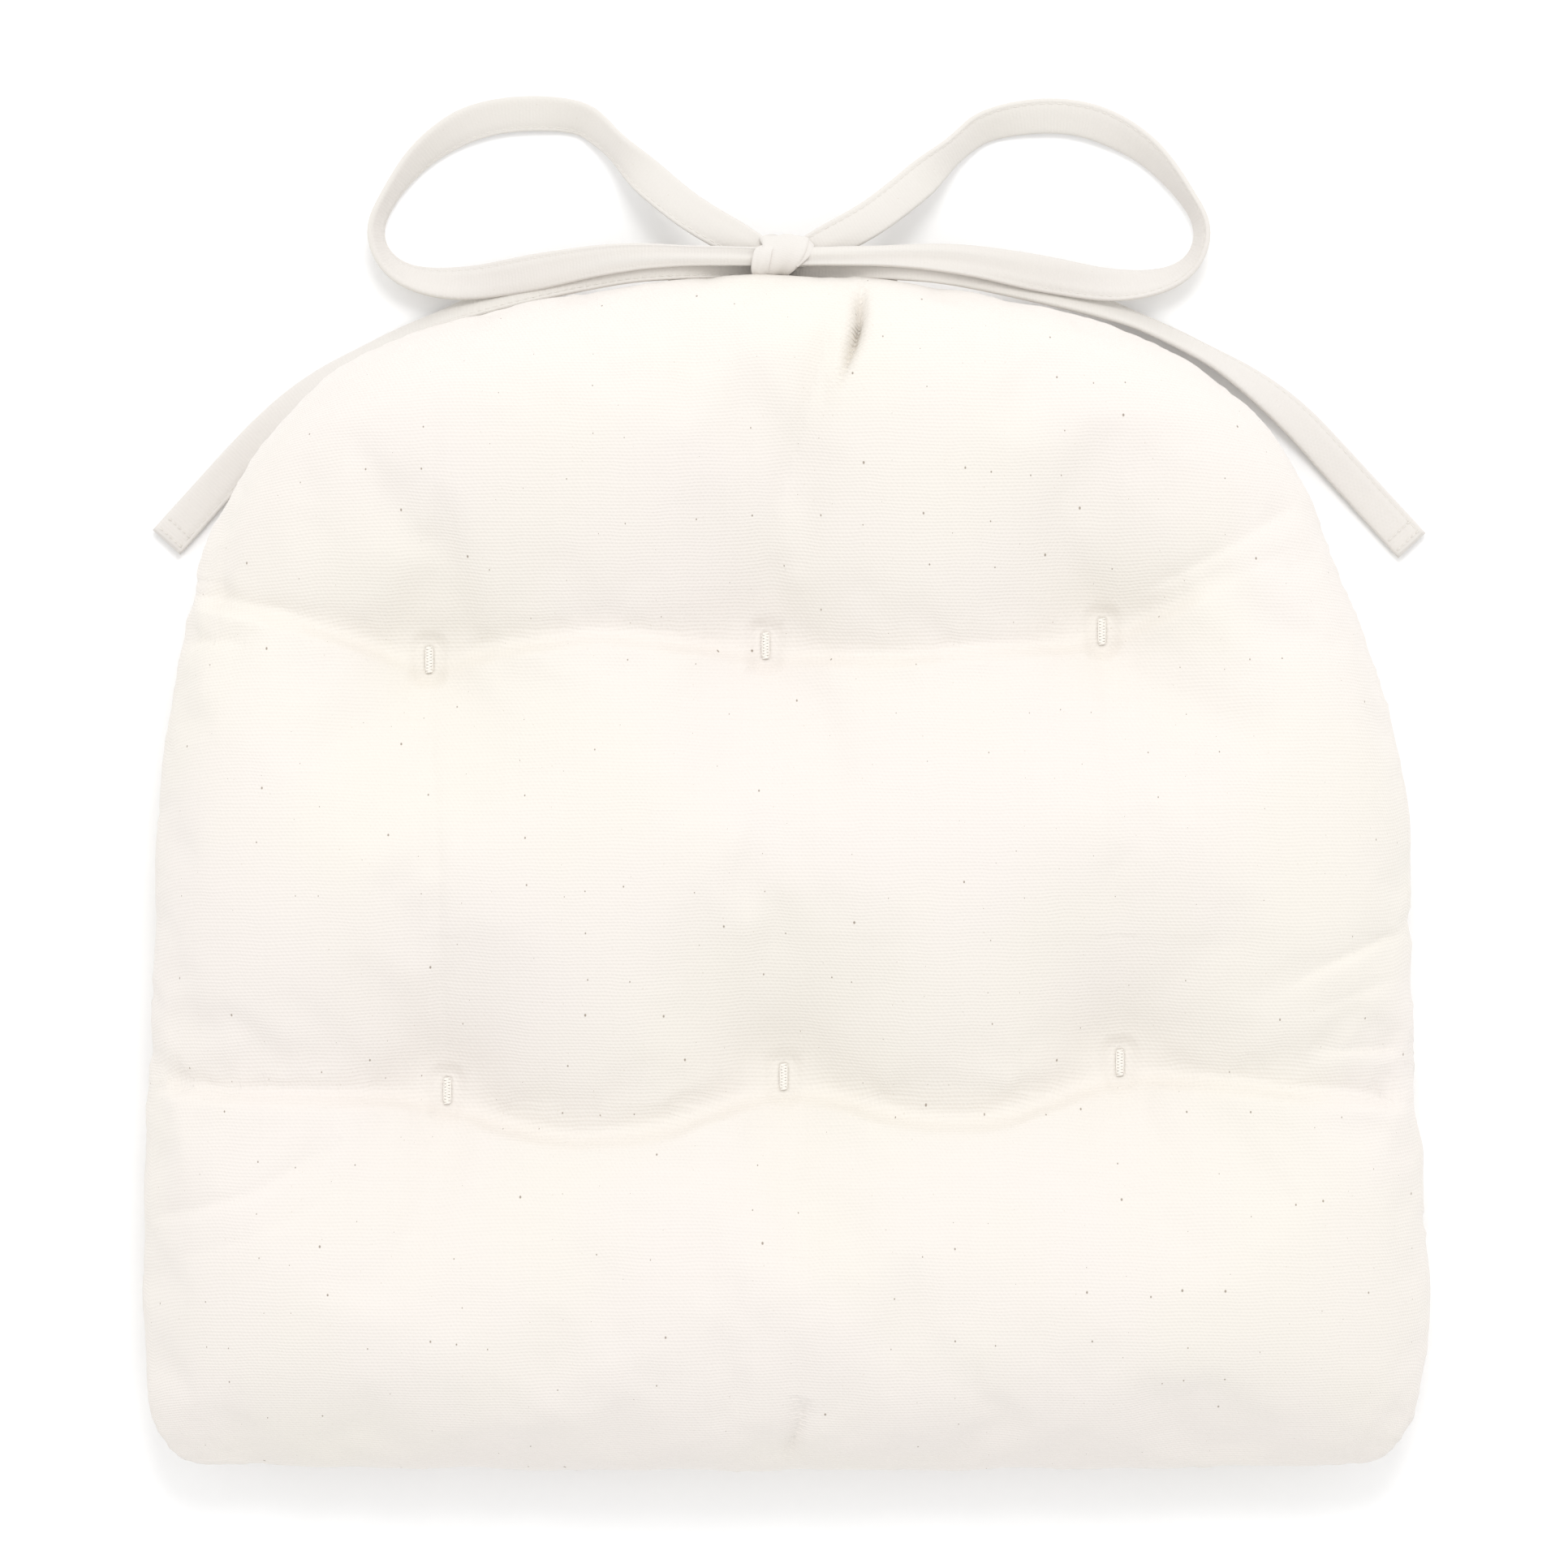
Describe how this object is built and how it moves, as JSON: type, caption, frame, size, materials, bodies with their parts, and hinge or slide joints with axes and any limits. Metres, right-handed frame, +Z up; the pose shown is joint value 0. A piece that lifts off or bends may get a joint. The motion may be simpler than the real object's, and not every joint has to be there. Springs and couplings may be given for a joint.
{
  "type": "chair seat pad",
  "caption": "Knife-edge chair seat pad with a half-round back, filled with foam and batting, tufted by bar tacks, with cloth ties knotted in a bow behind it.",
  "frame": {"origin": "middle of the pad, without its ties, on the plane that it rests on", "axes": "+Z up through the pad, -Y towards the straight front edge, +Y towards the half-round back edge where the ties are"},
  "size_m": [0.3963, 0.4247, 0.062],
  "materials": {
    "cloth": "undyed cotton duck, matt",
    "thread": "off-white cotton thread",
    "batting": "white polyester fibre",
    "foam": "open-cell polyurethane foam"
  },
  "bodies": {
    "root": {"top_panel": "cloth", "bottom_panel": "cloth", "batting_top": "batting", "batting_bottom": "batting", "foam_core": "foam", "seam_thread": "thread", "closing_stitch": "thread", "bar_tack_back_left": "thread", "bar_tack_back_centre": "thread", "bar_tack_back_right": "thread", "bar_tack_front_left": "thread", "bar_tack_front_centre": "thread", "bar_tack_front_right": "thread", "bow_knot": "cloth", "left_tie_root": "cloth", "left_tie_loop": "cloth", "left_tie_tail": "cloth", "right_tie_root": "cloth", "right_tie_loop": "cloth", "right_tie_tail": "cloth", "left_tie_hem_stitches": "thread", "right_tie_hem_stitches": "thread"}
  },
  "joints": []
}
